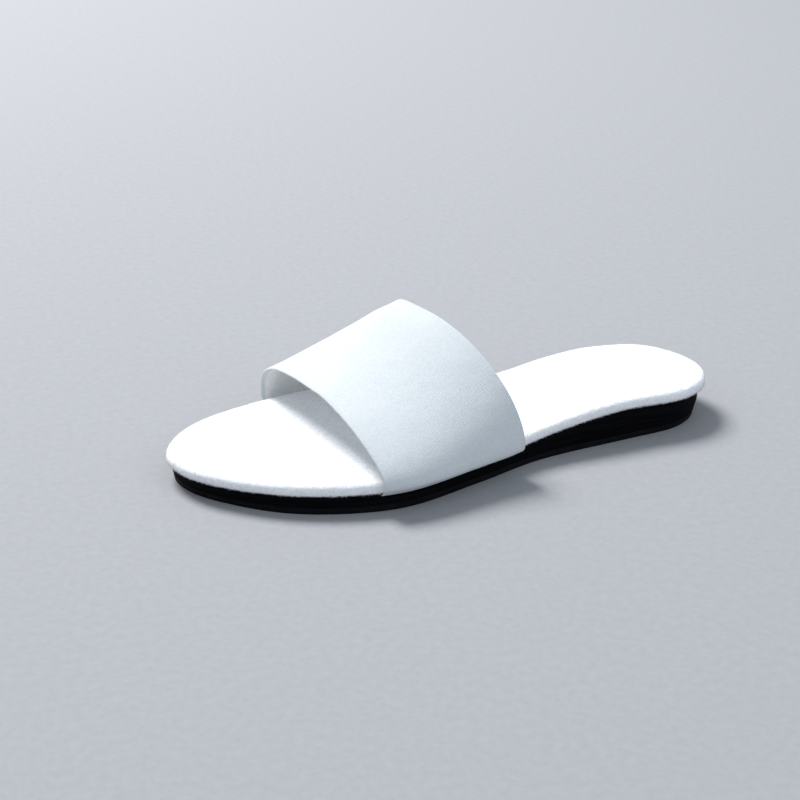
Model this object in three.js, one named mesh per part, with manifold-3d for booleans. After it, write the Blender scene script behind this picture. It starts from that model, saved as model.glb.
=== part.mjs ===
// One left spa slipper: a flat foam sole with a raised heel, a padded footbed
// and a single open-toe band.
//
// Frame, in millimetres: +X runs from the toe to the heel, +Y is the inner
// (medial) side, -Y the outer (lateral) side, +Z is up. The origin is on the
// floor, in the middle of the slipper's length and width.

import * as THREE from 'three';
import { mergeVertices } from 'three/addons/utils/BufferGeometryUtils.js';
import Module from 'manifold-3d';

const wasm = await Module();
wasm.setup();

// ---- Driving dimensions ----------------------------------------------------

const GAP = 0.3;                  // clearance between neighbouring layers

// Plan outline of the footbed
const LENGTH = 280;               // toe tip to back of heel
const TOE_TIP_Y = 5;              // toe tip, towards the inner side
const BALL_OUTER = 55;            // half widths, from the long axis
const BALL_INNER = 55.5;
const BALL_OUTER_FROM_TOE = 97;
const BALL_INNER_FROM_TOE = 93;
const ARCH_OUTER = 42.3;          // between the ball and the waist
const ARCH_INNER = 49;
const WAIST_OUTER = 29.6;
const WAIST_INNER = 39.5;
const WAIST_POSITION = 0.57;      // share of the way from the ball to the heel
const HEEL_OUTER = 21;
const HEEL_INNER = 45.5;
const HEEL_FROM_BACK = 43;
const HEEL_TIP_Y = 8.5;

// How the toe and the heel round off on each side: distance from the tip, and
// the share of the ball's or the heel's half width reached there.
const TOE_ROUND_OUTER = [[5.5, 0.22], [20, 0.5], [50, 0.83]];
const TOE_ROUND_INNER = [[5.5, 0.37], [21, 0.64], [52, 0.865]];
const HEEL_ROUND_OUTER = [[5.5, 0.42], [21, 0.92]];
const HEEL_ROUND_INNER = [[6.5, 0.6], [21, 0.9]];
const HEEL_FLARE_OUTER = { ahead: 12, wider: 1.2 };     // sides just ahead of the heel
const HEEL_FLARE_INNER = { ahead: 32, wider: -2.5 };
const ARCH_POSITION = 0.32;       // share of the way from the ball to the heel

// Sole
const OUTSOLE_THICKNESS = 3;
const MIDSOLE_THICKNESS = 5.7;
const HEEL_RISE = 7.6;            // what the wedge adds under the heel
const RISE_FROM_BACK = 132;       // where the wedge starts to lift the footbed
const RISE_LENGTH = 82;           // over which it reaches its full height
const WEDGE_TIP = 0.7;            // thickness of the wedge's front edge
const SOLE_SETBACK = 0.5;         // sole wall behind the footbed's edge, at the sides
const TOE_END = { setback: 0.3, taper: 2.4 };    // more at the ends: at the top,
const HEEL_END = { setback: 1, taper: 3.6 };     // and by the time it meets the floor
const END_REACH = 62;             // length over which the sides change to an end

// Tread grooves across the outsole
const GROOVE_WIDTH = 2.4;
const GROOVE_DEPTH = 1;
const GROOVE_PITCH = 9;
const TREAD_MARGIN = 24;          // plain sole in front of and behind the grooves
const PLAIN_WAIST = 52;           // plain stretch under the waist

// Footbed
const COVER_THICKNESS = 0.6;
const COVER_TURN_IN = 12;         // margin glued under the board
const FILLER_THICKNESS = 0.6;
const BOARD_THICKNESS = 1;
const FOAM_THICKNESS = 3.2;
const EDGE_ROUND = 3.6;           // how far the footbed rounds over at its edge

// Band over the foot
const FACE_THICKNESS = 0.6;
const STRAP_FOAM_THICKNESS = 1.2;
const LINING_THICKNESS = 0.5;
const TAB_LENGTH = 14;            // fabric tucked under the footbed
const TAB_ROOM = 2;               // free length of the pocket around each tab
const STRAP_STAND = 5.1;          // height at which the band is widest
const STRAP_FRONT_OUTER = 89;     // feet of the band, measured from the toe
const STRAP_FRONT_INNER = 58.5;
const STRAP_REAR_OUTER = 161.5;
const STRAP_REAR_INNER = 122.5;
const FRONT_PEAK = 39.2;          // top of the front edge above the floor
const REAR_PEAK = 66;
const FRONT_PEAK_FROM_INNER = 54;
const REAR_PEAK_FROM_INNER = 19.5;
const FRONT_BULGE = { outer: 2.2, inner: 2.2 };   // how far it bellies out beyond its feet
const REAR_BULGE = { outer: 5.1, inner: 2.2 };
const FRONT_FULLNESS = { outer: 1.43, inner: 3 };
const REAR_FULLNESS = { outer: 1.88, inner: 2.1 };

// Smoothness of the model
const STATIONS = 46;              // cross-sections along a layer
const ARCH_STEPS = 13;            // steps from each foot of the band to its top
const STRAP_STEPS = 8;            // steps from the band's front to its rear edge

// ---- Levels ------------------------------------------------------------------

const MIDSOLE_BOTTOM = OUTSOLE_THICKNESS + GAP;
const MIDSOLE_TOP = MIDSOLE_BOTTOM + MIDSOLE_THICKNESS;
const SOLE_WALL = MIDSOLE_TOP + HEEL_RISE;       // tallest, at the heel
const TURN_IN_BOTTOM = GAP;
const BOARD_BOTTOM = TURN_IN_BOTTOM + COVER_THICKNESS + GAP;
const FOAM_BOTTOM = BOARD_BOTTOM + BOARD_THICKNESS + GAP;
const FOAM_TOP = FOAM_BOTTOM + FOAM_THICKNESS;
const COVER_TOP = FOAM_TOP + GAP + COVER_THICKNESS;
const FACE_OFFSET = LINING_THICKNESS + STRAP_FOAM_THICKNESS + 2 * GAP;
const STRAP_THICKNESS = FACE_OFFSET + FACE_THICKNESS;
const POCKET_DEPTH = LINING_THICKNESS + FACE_THICKNESS + 2 * GAP;

function smoothstep(value) {
  const t = Math.min(Math.max(value, 0), 1);
  return t * t * (3 - 2 * t);
}

// Height of the top of the sole, which everything above follows.
function soleTop(x) {
  const start = LENGTH / 2 - RISE_FROM_BACK;
  return MIDSOLE_TOP + HEEL_RISE * smoothstep((x - start) / RISE_LENGTH);
}

function aboveSole(height) {
  return (x) => soleTop(x) + height;
}

// ---- Outline -----------------------------------------------------------------

const fromToe = (distance) => distance - LENGTH / 2;
const fromBack = (distance) => LENGTH / 2 - distance;

function between(start, end, share) {
  return start + (end - start) * share;
}

function outlineCurve() {
  const heel = fromBack(HEEL_FROM_BACK);
  const outerBall = fromToe(BALL_OUTER_FROM_TOE);
  const innerBall = fromToe(BALL_INNER_FROM_TOE);
  const corners = [
    [fromToe(0), TOE_TIP_Y],
    ...TOE_ROUND_OUTER.map(([distance, share]) => [fromToe(distance), -share * BALL_OUTER]),
    [outerBall, -BALL_OUTER],
    [between(outerBall, heel, ARCH_POSITION), -ARCH_OUTER],
    [between(outerBall, heel, WAIST_POSITION), -WAIST_OUTER],
    [heel - HEEL_FLARE_OUTER.ahead, -HEEL_OUTER - HEEL_FLARE_OUTER.wider],
    ...HEEL_ROUND_OUTER.map(([distance, share]) => [fromBack(distance), -share * HEEL_OUTER])
      .reverse(),
    [fromBack(0), HEEL_TIP_Y],
    ...HEEL_ROUND_INNER.map(([distance, share]) => [fromBack(distance), share * HEEL_INNER]),
    [heel, HEEL_INNER],
    [heel - HEEL_FLARE_INNER.ahead, HEEL_INNER + HEEL_FLARE_INNER.wider],
    [between(innerBall, heel, WAIST_POSITION), WAIST_INNER],
    [between(innerBall, heel, ARCH_POSITION), ARCH_INNER],
    [innerBall, BALL_INNER],
    ...TOE_ROUND_INNER.map(([distance, share]) => [fromToe(distance), share * BALL_INNER])
      .reverse(),
  ];
  const points = corners.map(([x, y]) => new THREE.Vector3(x, y, 0));
  return new THREE.CatmullRomCurve3(points, true, 'centripetal');
}

// The outline as a fine polygon, counter-clockwise from above, moved sideways
// so that it is centred on the long axis.
function outlinePolygon() {
  const points = outlineCurve().getPoints(600).slice(0, -1);
  const ys = points.map((point) => point.y);
  const middle = (Math.min(...ys) + Math.max(...ys)) / 2;
  return points.map((point) => new THREE.Vector2(point.x, point.y - middle));
}

const outline = outlinePolygon();

// The outline drawn in by a distance, which may depend on x.
function insetPolygon(inset) {
  const count = outline.length;
  const distance = typeof inset === 'function' ? inset : () => inset;
  return outline.map((point, index) => {
    const before = outline[(index + count - 1) % count];
    const after = outline[(index + 1) % count];
    const along = after.clone().sub(before).normalize();
    const inward = new THREE.Vector2(-along.y, along.x);
    return point.clone().addScaledVector(inward, distance(point.x));
  });
}

// The y of one side of a polygon at a given x.
function sideY(side, x) {
  let index = side.findIndex((point) => point.x >= x);
  index = Math.min(Math.max(index, 1), side.length - 1);
  const a = side[index - 1];
  const b = side[index];
  const share = (x - a.x) / (b.x - a.x);
  return between(a.y, b.y, Math.min(Math.max(share, 0), 1));
}

// Outer and inner side of an inset outline, both from toe to heel.
function sidesOf(inset) {
  const polygon = insetPolygon(inset);
  const xs = polygon.map((point) => point.x);
  const toe = xs.indexOf(Math.min(...xs));
  const heel = xs.indexOf(Math.max(...xs));
  const turned = [...polygon.slice(toe), ...polygon.slice(0, toe)];
  const heelAt = (heel - toe + polygon.length) % polygon.length;
  const outer = turned.slice(0, heelAt + 1);
  const inner = [...turned.slice(heelAt), turned[0]].reverse();
  return { outer, inner };
}

// ---- Solids from rings -----------------------------------------------------

// A ring runs from the toe end along the outer side to the heel and back along
// the inner side, at stations that crowd towards its round ends.
function ring(inset, height, xStart = -Infinity) {
  const { outer, inner } = sidesOf(inset);
  const toe = outer[0].x;
  const heel = outer[outer.length - 1].x;
  const cut = xStart > toe;
  const start = cut ? xStart : toe;
  const stations = [];
  for (let i = 0; i <= STATIONS; i += 1) {
    const angle = cut ? (i / STATIONS) * Math.PI / 2 : (i / STATIONS) * Math.PI;
    const share = cut ? Math.sin(angle) : (1 - Math.cos(angle)) / 2;
    stations.push(between(start, heel, share));
  }
  const level = typeof height === 'function' ? height : () => height;
  const near = stations.map((x) => new THREE.Vector3(x, sideY(outer, x), level(x)));
  const far = stations.map((x) => new THREE.Vector3(x, sideY(inner, x), level(x)));
  near[STATIONS] = new THREE.Vector3(heel, outer[outer.length - 1].y, level(heel));
  far[STATIONS] = near[STATIONS].clone();
  if (!cut) {
    near[0] = new THREE.Vector3(toe, outer[0].y, level(toe));
    far[0] = near[0].clone();
  }
  return [...near, ...far.reverse()];
}

function geometryFrom(triangles) {
  const positions = [];
  for (const [a, b, c] of triangles) {
    const flat = a.distanceTo(b) < 1e-6 || b.distanceTo(c) < 1e-6 || c.distanceTo(a) < 1e-6;
    if (!flat) {
      positions.push(...a.toArray(), ...b.toArray(), ...c.toArray());
    }
  }
  const geometry = new THREE.BufferGeometry();
  geometry.setAttribute('position', new THREE.Float32BufferAttribute(positions, 3));
  return mergeVertices(geometry, 1e-5);
}

// Flat strips across a ring, from side to side, facing up or down.
function capTriangles(points, up) {
  const last = points.length - 1;
  const triangles = [];
  for (let i = 0; i < points.length / 2 - 1; i += 1) {
    const a = points[i];
    const b = points[i + 1];
    const c = points[last - i - 1];
    const d = points[last - i];
    const strip = [[a, b, c], [a, c, d]];
    triangles.push(...(up ? strip : strip.map(([p, q, r]) => [p, r, q])));
  }
  return triangles;
}

// A closed solid through a stack of rings: the first is capped facing down,
// the last facing up, and each pair is joined by a wall.
function ringSolid(rings) {
  const triangles = capTriangles(rings[0], false);
  for (let level = 0; level < rings.length - 1; level += 1) {
    const low = rings[level];
    const high = rings[level + 1];
    for (let i = 0; i < low.length; i += 1) {
      const next = (i + 1) % low.length;
      triangles.push([low[i], low[next], high[next]], [low[i], high[next], high[i]]);
    }
  }
  triangles.push(...capTriangles(rings[rings.length - 1], true));
  return geometryFrom(triangles);
}

// ---- Joining and cutting ---------------------------------------------------

function toManifold(geometry) {
  const bare = geometry.clone();
  bare.deleteAttribute('normal');
  bare.deleteAttribute('uv');
  const merged = mergeVertices(bare, 1e-5);
  return new wasm.Manifold(new wasm.Mesh({
    numProp: 3,
    vertProperties: new Float32Array(merged.attributes.position.array),
    triVerts: new Uint32Array(merged.index.array),
  }));
}

function subtract(geometry, cutters) {
  let solid = toManifold(geometry);
  for (const cutter of cutters) {
    solid = solid.subtract(toManifold(cutter));
  }
  const mesh = solid.getMesh();
  const result = new THREE.BufferGeometry();
  result.setAttribute('position', new THREE.BufferAttribute(mesh.vertProperties, 3));
  result.setIndex(new THREE.BufferAttribute(mesh.triVerts, 1));
  return result;
}

// ---- Sole ----------------------------------------------------------------------

// The sole's wall is upright along the sides and draws in towards the floor
// under the toe and the heel. depthShare is 0 at its top and 1 at the floor.
function soleInset(depthShare) {
  return (x) => {
    const end = x < 0 ? TOE_END : HEEL_END;
    const towardsEnd = smoothstep((Math.abs(x) - (LENGTH / 2 - END_REACH)) / END_REACH);
    return SOLE_SETBACK + (end.setback + end.taper * depthShare) * towardsEnd;
  };
}

function grooveCutters() {
  const cutters = [];
  const reach = 2 * (BALL_OUTER + BALL_INNER);
  const first = fromToe(TREAD_MARGIN);
  const last = fromBack(TREAD_MARGIN);
  const waist = between(fromToe(BALL_OUTER_FROM_TOE), fromBack(HEEL_FROM_BACK), WAIST_POSITION);
  for (let x = first; x <= last; x += GROOVE_PITCH) {
    if (Math.abs(x - waist) > PLAIN_WAIST / 2) {
      const groove = new THREE.BoxGeometry(GROOVE_WIDTH, reach, 2 * GROOVE_DEPTH);
      groove.translate(x, 0, 0);
      cutters.push(groove);
    }
  }
  return cutters;
}

function outsoleGeometry() {
  const body = ringSolid([
    ring(soleInset(1), 0),
    ring(soleInset(1 - OUTSOLE_THICKNESS / SOLE_WALL), OUTSOLE_THICKNESS),
  ]);
  return subtract(body, grooveCutters());
}

function midsoleGeometry() {
  const body = ringSolid([
    ring(soleInset(1 - MIDSOLE_BOTTOM / SOLE_WALL), MIDSOLE_BOTTOM),
    ring(soleInset(1 - MIDSOLE_TOP / SOLE_WALL), MIDSOLE_TOP),
  ]);
  return subtract(body, [tabPocket('outer'), tabPocket('inner')]);
}

// Where the wedge is thick enough to begin.
function wedgeStart() {
  let x = fromBack(RISE_FROM_BACK);
  while (soleTop(x) < MIDSOLE_TOP + GAP + WEDGE_TIP) {
    x += 0.5;
  }
  return x;
}

function heelWedgeGeometry() {
  const start = wedgeStart();
  return ringSolid([
    ring(soleInset(1 - MIDSOLE_TOP / SOLE_WALL), MIDSOLE_TOP + GAP, start),
    ring(soleInset(0), soleTop, start),
  ]);
}

// ---- Footbed -------------------------------------------------------------------

const COVER_INSIDE = COVER_THICKNESS + GAP;

function boardGeometry() {
  const edge = COVER_INSIDE + 1;
  return ringSolid([
    ring(edge, aboveSole(BOARD_BOTTOM)),
    ring(edge, aboveSole(BOARD_BOTTOM + BOARD_THICKNESS)),
  ]);
}

function fillerGeometry() {
  const edge = COVER_TURN_IN + GAP + 0.5;
  return ringSolid([
    ring(edge, aboveSole(TURN_IN_BOTTOM)),
    ring(edge, aboveSole(TURN_IN_BOTTOM + FILLER_THICKNESS)),
  ]);
}

// The footbed's edge is widest at the shoulder and rounds over to its top.
const SHOULDER = between(FOAM_BOTTOM, FOAM_TOP, 0.25);
const BROW = between(FOAM_BOTTOM, FOAM_TOP, 0.7);
const BROW_INSET = 0.25 * EDGE_ROUND;

function footbedFoamGeometry() {
  return ringSolid([
    ring(COVER_INSIDE + GAP, aboveSole(FOAM_BOTTOM)),
    ring(COVER_INSIDE, aboveSole(SHOULDER)),
    ring(COVER_INSIDE + BROW_INSET, aboveSole(BROW)),
    ring(COVER_INSIDE + EDGE_ROUND, aboveSole(FOAM_TOP)),
  ]);
}

// The cover is one sheet: over the sponge, round the edge and turned under.
function footbedCoverGeometry() {
  const wall = COVER_THICKNESS;
  const underside = TURN_IN_BOTTOM + wall;
  const inside = [
    ring(wall + EDGE_ROUND, aboveSole(COVER_TOP - wall)),
    ring(wall + BROW_INSET, aboveSole(BROW + GAP)),
    ring(wall, aboveSole(SHOULDER)),
    ring(wall, aboveSole(underside)),
    ring(COVER_TURN_IN, aboveSole(underside)),
  ];
  const outside = [
    ring(COVER_TURN_IN, aboveSole(TURN_IN_BOTTOM)),
    ring(wall, aboveSole(TURN_IN_BOTTOM)),
    ring(0, aboveSole(underside)),
    ring(0, aboveSole(SHOULDER)),
    ring(BROW_INSET, aboveSole(BROW + GAP + wall)),
    ring(EDGE_ROUND, aboveSole(COVER_TOP)),
  ];
  return ringSolid([...inside, ...outside]);
}

// ---- Band ------------------------------------------------------------------------

const strapSides = sidesOf(-GAP);

// The cross-section frame of the band at a share of the way from front to rear:
// its two feet, the top and how full each flank is.
function strapSection(share) {
  const outerX = fromToe(between(STRAP_FRONT_OUTER, STRAP_REAR_OUTER, share));
  const innerX = fromToe(between(STRAP_FRONT_INNER, STRAP_REAR_INNER, share));
  const outerFoot = new THREE.Vector2(outerX, sideY(strapSides.outer, outerX));
  const innerFoot = new THREE.Vector2(innerX, sideY(strapSides.inner, innerX));
  const across = innerFoot.clone().sub(outerFoot);
  const span = across.length();
  across.normalize();
  return {
    outerFoot,
    across,
    span,
    peakAt: span - between(FRONT_PEAK_FROM_INNER, REAR_PEAK_FROM_INNER, share),
    peak: between(FRONT_PEAK, REAR_PEAK, share) - STRAP_THICKNESS,
    outerSole: soleTop(outerX),
    innerSole: soleTop(innerX),
    outerBulge: between(FRONT_BULGE.outer, REAR_BULGE.outer, share),
    innerBulge: between(FRONT_BULGE.inner, REAR_BULGE.inner, share),
    outerFullness: between(FRONT_FULLNESS.outer, REAR_FULLNESS.outer, share),
    innerFullness: between(FRONT_FULLNESS.inner, REAR_FULLNESS.inner, share),
  };
}

// A flank is a quarter of a superellipse from the band's widest place up to its
// top. Points are pushed out along its normal by the layer's offset. Returned as
// distance across the slipper and height.
function flankPoint(section, side, angle, offset) {
  const outer = side === 'outer';
  const power = outer ? section.outerFullness : section.innerFullness;
  const reach = outer ? section.peakAt : section.span - section.peakAt;
  const width = reach + (outer ? section.outerBulge : section.innerBulge);
  const base = (outer ? section.outerSole : section.innerSole) + STRAP_STAND;
  const rise = section.peak - base;
  const u = Math.max(Math.cos(angle), 0) ** (2 / power);
  const v = Math.max(Math.sin(angle), 0) ** (2 / power);
  const normal = new THREE.Vector2(u ** (power - 1) / width, v ** (power - 1) / rise);
  normal.normalize();
  const out = u * width + normal.x * offset;
  const height = base + v * rise + normal.y * offset;
  return new THREE.Vector2(section.peakAt + (outer ? -out : out), height);
}

function archPoints(section, offset) {
  const points = [];
  for (let i = 0; i <= 2 * ARCH_STEPS; i += 1) {
    const angle = (i / (2 * ARCH_STEPS)) * Math.PI;
    const side = i <= ARCH_STEPS ? 'outer' : 'inner';
    points.push(flankPoint(section, side, side === 'outer' ? angle : Math.PI - angle, offset));
  }
  return points;
}

// One face of a layer, from the end of the outer tab over the foot to the end
// of the inner tab. depth is how far below the sole's top the tab lies; a layer
// with no tab ends straight down at that depth.
function layerLine(section, offset, depth, tab) {
  const { span, outerSole, innerSole, outerBulge, innerBulge } = section;
  const line = archPoints(section, offset);
  for (const share of [0.66, 0.33, 0]) {
    const belly = Math.sin(share * Math.PI / 2);
    const outerOut = offset + outerBulge * belly;
    const innerOut = offset + innerBulge * belly;
    line.unshift(new THREE.Vector2(-outerOut, outerSole + STRAP_STAND * share));
    line.push(new THREE.Vector2(span + innerOut, innerSole + STRAP_STAND * share));
  }
  line.unshift(new THREE.Vector2(-offset, outerSole - depth));
  line.push(new THREE.Vector2(span + offset, innerSole - depth));
  if (tab > 0) {
    line.unshift(new THREE.Vector2(tab, outerSole - depth));
    line.push(new THREE.Vector2(span - tab, innerSole - depth));
  }
  return line;
}

// Loft one layer from the front to the rear edge. near and far are its two
// faces: { offset, depth } from the band's inner surface.
function strapLayer(near, far, tab) {
  const loops = [];
  for (let i = 0; i <= STRAP_STEPS; i += 1) {
    const section = strapSection(i / STRAP_STEPS);
    const place = (point) => {
      const spot = section.outerFoot.clone().addScaledVector(section.across, point.x);
      return new THREE.Vector3(spot.x, spot.y, point.y);
    };
    loops.push([
      ...layerLine(section, near.offset, near.depth, tab).map(place),
      ...layerLine(section, far.offset, far.depth, tab).map(place).reverse(),
    ]);
  }
  const triangles = [];
  for (let step = 0; step < STRAP_STEPS; step += 1) {
    const front = loops[step];
    const rear = loops[step + 1];
    for (let i = 0; i < front.length; i += 1) {
      const next = (i + 1) % front.length;
      triangles.push([front[i], front[next], rear[next]], [front[i], rear[next], rear[i]]);
    }
  }
  triangles.push(...capTriangles(loops[0], false));
  triangles.push(...capTriangles(loops[STRAP_STEPS], true));
  return geometryFrom(triangles);
}

const LINING_NEAR = { offset: 0, depth: 0 };
const LINING_FAR = { offset: LINING_THICKNESS, depth: LINING_THICKNESS };
const FACE_TOP_DEPTH = LINING_THICKNESS + GAP;
const FACE_NEAR = { offset: FACE_OFFSET, depth: FACE_TOP_DEPTH };
const FACE_FAR = { offset: STRAP_THICKNESS, depth: FACE_TOP_DEPTH + FACE_THICKNESS };

function strapLiningGeometry() {
  return strapLayer(LINING_NEAR, LINING_FAR, TAB_LENGTH);
}

// The foam stops at the sole, so that only the two fabrics are tucked under.
function strapFoamGeometry() {
  const depth = FACE_TOP_DEPTH - GAP;
  return strapLayer(
    { offset: LINING_THICKNESS + GAP, depth },
    { offset: LINING_THICKNESS + GAP + STRAP_FOAM_THICKNESS, depth },
    0,
  );
}

function strapFaceGeometry() {
  return strapLayer(FACE_NEAR, FACE_FAR, TAB_LENGTH);
}

// The shallow pocket in the midsole that takes the tabs of one side.
function tabPocket(side) {
  const outer = side === 'outer';
  const strips = [];
  for (let i = 0; i <= STRAP_STEPS; i += 1) {
    const section = strapSection(i / STRAP_STEPS);
    const from = outer ? -2 * STRAP_THICKNESS : section.span + 2 * STRAP_THICKNESS;
    const to = outer ? TAB_LENGTH + TAB_ROOM : section.span - TAB_LENGTH - TAB_ROOM;
    const spots = [from, to].map((distance) => (
      section.outerFoot.clone().addScaledVector(section.across, distance)
    ));
    if (i === 0 || i === STRAP_STEPS) {
      const shift = i === 0 ? -TAB_ROOM : TAB_ROOM;
      spots.forEach((spot) => spot.setX(spot.x + shift));
    }
    strips.push(spots);
  }
  const floor = MIDSOLE_TOP - POCKET_DEPTH;
  const level = (z) => {
    const edge = strips.map(([spot]) => new THREE.Vector3(spot.x, spot.y, z));
    const back = strips.map(([, spot]) => new THREE.Vector3(spot.x, spot.y, z)).reverse();
    const points = [...edge, ...back];
    return outer ? points : points.reverse();
  };
  return ringSolid([level(floor), level(MIDSOLE_TOP + POCKET_DEPTH)]);
}

// ---- Assembly --------------------------------------------------------------------

function material(color, roughness) {
  return new THREE.MeshStandardMaterial({ color, roughness, metalness: 0 });
}

const blackRubber = material(0x101114, 0.75);
const blackFoam = material(0x17181b, 0.9);
const whiteFabric = material(0xf2f2f0, 0.95);
const liningFabric = material(0xe6e7e6, 0.95);
const sponge = material(0xe9e6da, 1);
const fibreboard = material(0xb39c7a, 0.9);

const slipper = new THREE.Group();

function addPart(name, geometry, finish) {
  const mesh = new THREE.Mesh(geometry, finish);
  mesh.name = name;
  slipper.add(mesh);
}

addPart('outsole', outsoleGeometry(), blackRubber);
addPart('midsole', midsoleGeometry(), blackFoam);
addPart('heel_wedge', heelWedgeGeometry(), blackFoam);
addPart('bottom_filler', fillerGeometry(), sponge);
addPart('insole_board', boardGeometry(), fibreboard);
addPart('footbed_foam', footbedFoamGeometry(), sponge);
addPart('footbed_cover', footbedCoverGeometry(), whiteFabric);
addPart('strap_lining', strapLiningGeometry(), liningFabric);
addPart('strap_foam', strapFoamGeometry(), sponge);
addPart('strap_face', strapFaceGeometry(), whiteFabric);

export default slipper;
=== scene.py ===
"""Looks of one left spa slipper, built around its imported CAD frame.

Everything is in metres in the frame's own axes: +X from toe to heel, +Y the inner
side of the foot, +Z up, the origin on the floor under the middle of the slipper.
"""

import math

import bpy
import numpy as np
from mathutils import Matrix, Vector, noise


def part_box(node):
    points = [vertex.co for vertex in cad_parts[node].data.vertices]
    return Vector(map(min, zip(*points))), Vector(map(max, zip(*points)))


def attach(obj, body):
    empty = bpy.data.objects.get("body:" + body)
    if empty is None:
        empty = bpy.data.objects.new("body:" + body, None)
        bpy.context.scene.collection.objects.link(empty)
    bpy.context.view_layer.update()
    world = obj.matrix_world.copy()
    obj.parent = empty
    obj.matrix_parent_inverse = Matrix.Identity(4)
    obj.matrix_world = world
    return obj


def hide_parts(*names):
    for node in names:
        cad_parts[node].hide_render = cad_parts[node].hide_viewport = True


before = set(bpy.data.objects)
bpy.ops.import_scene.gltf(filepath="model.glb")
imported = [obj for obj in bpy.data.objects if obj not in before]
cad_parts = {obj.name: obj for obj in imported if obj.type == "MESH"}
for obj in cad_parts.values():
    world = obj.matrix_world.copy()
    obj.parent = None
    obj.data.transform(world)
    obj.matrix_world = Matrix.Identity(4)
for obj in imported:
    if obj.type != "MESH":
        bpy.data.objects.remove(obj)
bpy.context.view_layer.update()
MM = 0.001

# ---- Sizes ---------------------------------------------------------------------
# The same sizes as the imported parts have, in metres.

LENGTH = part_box("footbed_cover")[1].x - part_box("footbed_cover")[0].x
SOLE_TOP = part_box("midsole")[1].z
HEEL_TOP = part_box("heel_wedge")[1].z
OUTSOLE_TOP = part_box("outsole")[1].z
SOLE_SETBACK = 0.5 * MM
TOE_END = {"setback": 0.3 * MM, "taper": 2.4 * MM}
HEEL_END = {"setback": 1.0 * MM, "taper": 3.6 * MM}
END_REACH = 62 * MM

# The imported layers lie 0.3 mm apart. The visible ones meet inside that gap, at a thin glue line.
GLUE_LINE = 0.04 * MM
BELOW_JOINT = 3 * GLUE_LINE
ABOVE_JOINT = BELOW_JOINT + GLUE_LINE

STRAP_THICKNESS = 2.9 * MM
STRAP_WIDTH = 68 * MM            # of the flat cloth, from its front to its rear edge
STRAP_CLEARANCE = 0.3 * MM       # between the band's feet and the footbed's edge
TAB_LENGTH = 12 * MM
TAB_PRESS = 0.32                # share of its thickness the band keeps where it is glued in
FRONT_EDGE = {"outer": 89 * MM, "inner": 58.5 * MM, "peak": 39.2 * MM, "from_inner": 54 * MM,
              "outer_fullness": 1.43, "inner_fullness": 3.0, "outer_bulge": 2.2 * MM,
              "inner_bulge": 2.2 * MM}
REAR_EDGE = {"outer": 161.5 * MM, "inner": 122.5 * MM, "peak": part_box("strap_face")[1].z,
             "from_inner": 19.5 * MM, "outer_fullness": 1.88, "inner_fullness": 2.1,
             "outer_bulge": 5.1 * MM, "inner_bulge": 2.2 * MM}

FINE = 360                      # stations along a piece that shows
COARSE = 120                    # stations along a piece hidden inside


def smoothstep(value):
    t = np.clip(value, 0.0, 1.0)
    return t * t * (3 - 2 * t)


def between(a, b, share):
    return a + (b - a) * share


def unit(vectors):
    return vectors / (np.linalg.norm(vectors, axis=-1, keepdims=True) + 1e-12)


def places_along(line):
    """Distance of each point of a line from its first point, measured along it."""
    return np.concatenate([[0], np.cumsum(np.linalg.norm(np.diff(line, axis=0), axis=1))])


# ---- Plan outline and the height of the sole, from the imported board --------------

def closed_spline(points, count):
    """A smooth closed curve through points, at count places evenly spaced along it."""
    before, after = np.roll(points, 1, 0), np.roll(points, -1, 0)
    after2 = np.roll(points, -2, 0)
    steps = 12
    pieces = []
    for k in range(steps):
        t = k / steps
        a = -0.5 * t**3 + t**2 - 0.5 * t
        b = 1.5 * t**3 - 2.5 * t**2 + 1
        c = -1.5 * t**3 + 2 * t**2 + 0.5 * t
        d = 0.5 * t**3 - 0.5 * t**2
        pieces.append(a * before + b * points + c * after + d * after2)
    dense = np.stack(pieces, 1).reshape(-1, points.shape[1])
    closed = np.vstack([dense, dense[:1]])
    along = places_along(closed)
    places = np.linspace(0, along[-1], count, endpoint=False)
    return np.stack([np.interp(places, along, closed[:, i]) for i in range(points.shape[1])], 1)


def soften_loop(points, passes):
    for _ in range(passes):
        points = (np.roll(points, 1, 0) + 2 * points + np.roll(points, -1, 0)) / 4
    return points


def board_stations():
    """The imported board's corners: outer and inner side from toe to heel, and its underside."""
    corners = np.array([v.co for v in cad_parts["insole_board"].data.vertices])
    _, first = np.unique(np.round(corners[:, :2], 5), axis=0, return_index=True)
    plan = corners[first][:, :2]
    toe, heel = plan[plan[:, 0].argmin()], plan[plan[:, 0].argmax()]
    axis = np.interp(plan[:, 0], [toe[0], heel[0]], [toe[1], heel[1]])
    outer = plan[plan[:, 1] <= axis]
    inner = plan[plan[:, 1] > axis]
    outer = outer[outer[:, 0].argsort()]
    inner = inner[inner[:, 0].argsort()]
    return outer, inner, corners


def outward_normals(loop):
    along = unit(np.roll(loop, -1, 0) - np.roll(loop, 1, 0))
    return np.stack([along[:, 1], -along[:, 0]], 1)


BOARD_OUTER, BOARD_INNER, BOARD_CORNERS = board_stations()
BOARD_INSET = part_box("insole_board")[0].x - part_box("footbed_cover")[0].x
BOARD_LOOP = np.vstack([BOARD_OUTER, BOARD_INNER[::-1]])
OUTLINE = soften_loop(closed_spline(BOARD_LOOP, 1440), 30)
OUTLINE = OUTLINE + outward_normals(OUTLINE) * BOARD_INSET


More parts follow.
